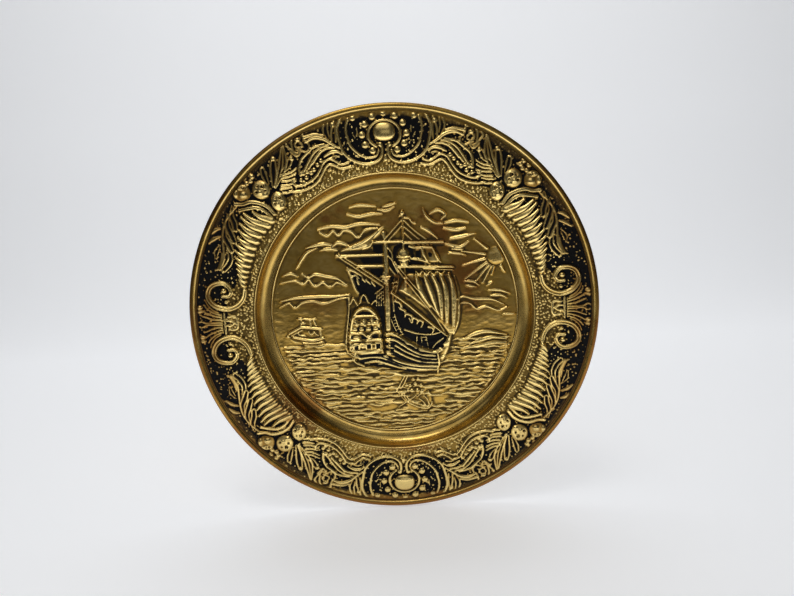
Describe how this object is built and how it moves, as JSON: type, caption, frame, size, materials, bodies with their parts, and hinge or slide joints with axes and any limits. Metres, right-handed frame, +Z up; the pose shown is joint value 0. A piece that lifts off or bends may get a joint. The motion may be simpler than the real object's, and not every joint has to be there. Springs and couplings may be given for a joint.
{
  "type": "pressed brass wall plaque",
  "caption": "Round brass wall charger with rolled rim, relief border of scrolls, leaves and fruit, and a sunk field with a sailing ship.",
  "frame": {"origin": "centre of the flat back of the sunk field, which lies on the wall", "axes": "+Z up, -Y out of the decorated front, +Y into the wall, +X to the right as seen from the front"},
  "size_m": [0.3558, 0.017, 0.3558],
  "materials": {
    "brass": "aged, polished on the high places and dark in the recesses"
  },
  "bodies": {
    "root": {"plaque": "brass"}
  },
  "joints": []
}
